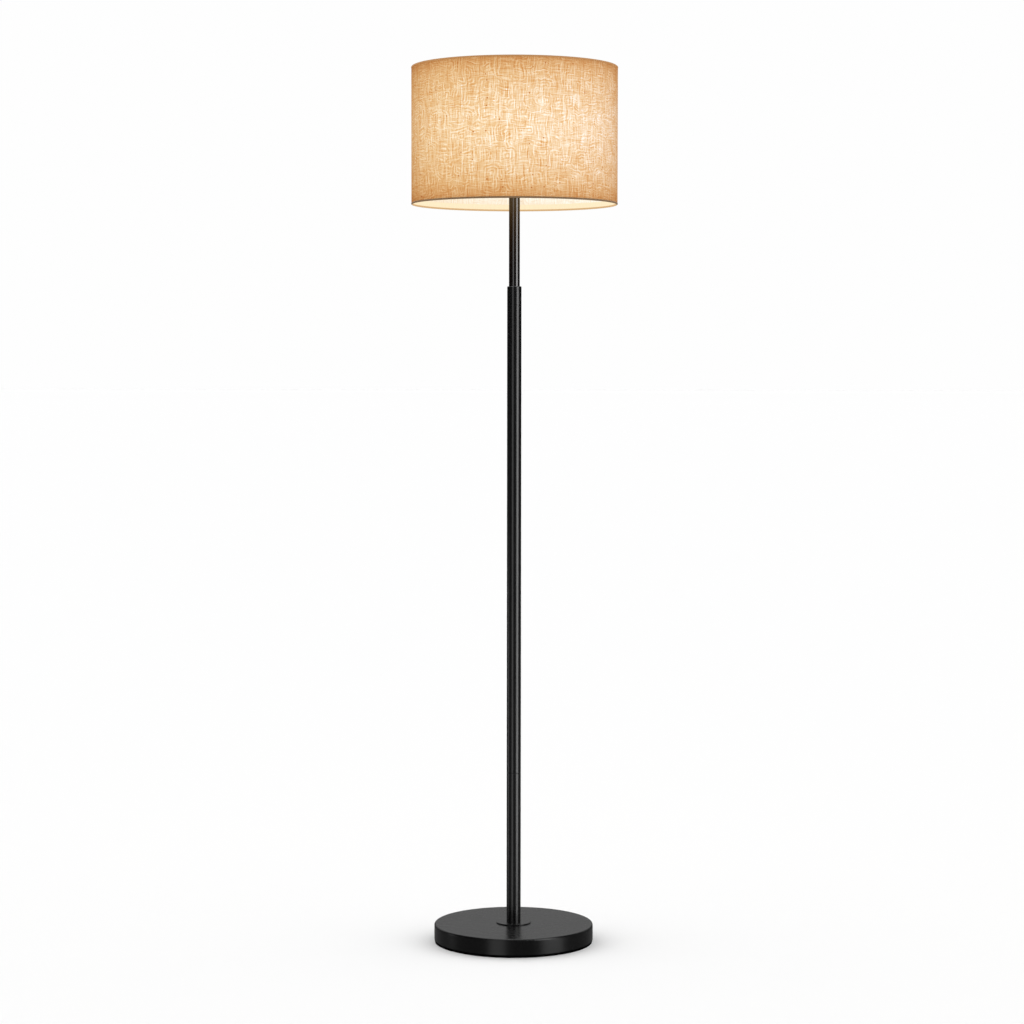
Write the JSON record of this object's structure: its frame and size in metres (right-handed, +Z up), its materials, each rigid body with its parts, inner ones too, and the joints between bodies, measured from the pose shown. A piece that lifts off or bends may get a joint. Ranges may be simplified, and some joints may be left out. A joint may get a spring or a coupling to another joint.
{
  "type": "telescopic floor lamp",
  "caption": "Slim floor lamp with a round weighted base, a two-stage telescopic pole held by friction and a lock screw, and a linen drum shade lit by a screw-in bulb.",
  "frame": {"origin": "on the floor, on the pole's axis, at the middle of the base's underside", "axes": "+Z up along the pole, -Y towards the front, +Y towards the cord's outlet at the back of the base, +X towards the lock screw"},
  "size_m": [0.36, 0.36, 1.534],
  "materials": {
    "black_coat": "satin black powder coat",
    "black_slide": "smoother black coat on the sliding tube",
    "concrete": "cast concrete",
    "plate_steel": "thin grey-black paint",
    "foam": "closed-cell foam",
    "zinc": "zinc plated",
    "blackened_steel": "black oxide",
    "brass": "turned or pressed brass",
    "nylon": "natural nylon",
    "black_rubber": "moulded black rubber",
    "lead_jacket": "pale PVC jacket",
    "core_sleeve": "brown PVC insulation",
    "black_plastic": "black moulded plastic",
    "ceramic": "unglazed white ceramic",
    "white_wire": "white coat on steel wire",
    "edging": "brown cotton tape",
    "linen": "slubby natural linen, lit from within",
    "liner": "translucent plastic film",
    "nickel": "nickel plated",
    "contact": "black glass with a solder contact",
    "white_plastic": "white moulded plastic",
    "opal": "opal plastic, lit",
    "board": "green circuit board",
    "led_plate": "white-faced aluminium",
    "phosphor": "yellow phosphor"
  },
  "bodies": {
    "stand": {"floor_pad": "foam", "bottom_plate": "plate_steel", "plate_screws": "zinc", "base_weight": "concrete", "base_cover": "black_coat", "foot_flange": "black_coat", "base_washer": "zinc", "spring_washer": "zinc", "base_nut": "zinc", "base_nipple": "zinc", "cord_gland": "black_rubber", "base_lead": "lead_jacket", "pole_foot": "zinc", "lower_pole": "black_coat", "pole_socket": "zinc", "pole_stud": "zinc", "middle_pole": "black_coat", "pole_collar": "black_coat", "clamp_sleeve": "brass", "guide_bush": "nylon", "lock_pad": "brass"},
    "glide_ring": {"friction_ring": "nylon", "coiled_lead": "lead_jacket"},
    "upper_part": {"inner_glide": "nylon", "glide_rivets": "zinc", "inner_pole": "black_slide", "head_plug": "zinc", "upper_lead": "lead_jacket", "lead_cores": "core_sleeve", "holder_nipple": "zinc", "holder_cap": "black_plastic", "holder_body": "black_plastic", "holder_core": "ceramic", "screw_shell": "brass", "centre_contact": "brass", "terminal_blocks": "brass", "terminal_screws": "zinc", "lower_clamp_ring": "black_plastic", "upper_clamp_ring": "black_plastic", "fitter_ring": "white_wire", "spokes": "white_wire", "lower_wire": "white_wire", "top_wire": "white_wire", "lower_edging": "edging", "top_edging": "edging", "linen_cover": "linen", "shade_liner": "liner"},
    "lock_screw": {"lock_screw": "blackened_steel"},
    "bulb_foot": {"bulb_contact": "contact", "bulb_cap": "nickel"},
    "bulb": {"bulb_body": "white_plastic", "driver_board": "board", "led_board": "led_plate", "led_chips": "phosphor", "bulb_dome": "opal"}
  },
  "joints": [
    {"name": "pole_slide", "type": "slide", "parent": "stand", "child": "glide_ring", "axis": [0, 0, 1], "range_m": [-0.187, 0.15], "deforming": ["coiled_lead"]},
    {"name": "pole_twist", "type": "hinge", "parent": "glide_ring", "child": "upper_part", "pos_m": [0, 0, 0.858], "axis": [0, 0, 1], "continuous": true},
    {"name": "lock_screw_turn", "type": "hinge", "parent": "stand", "child": "lock_screw", "pos_m": [0.0112, 0, 1.132], "axis": [1, 0, 0], "range_deg": [0, 90]},
    {"name": "bulb_rise", "type": "slide", "parent": "upper_part", "child": "bulb_foot", "axis": [0, 0, 1], "range_m": [0, 0.0181]},
    {"name": "bulb_turn", "type": "hinge", "parent": "bulb_foot", "child": "bulb", "pos_m": [0, 0, 1.42], "axis": [0, 0, 1], "range_deg": [0, 1800]}
  ],
  "couplings": [
    {"joint": "bulb_rise", "follows": "bulb_turn", "m_per_rad": 0.00057614}
  ]
}
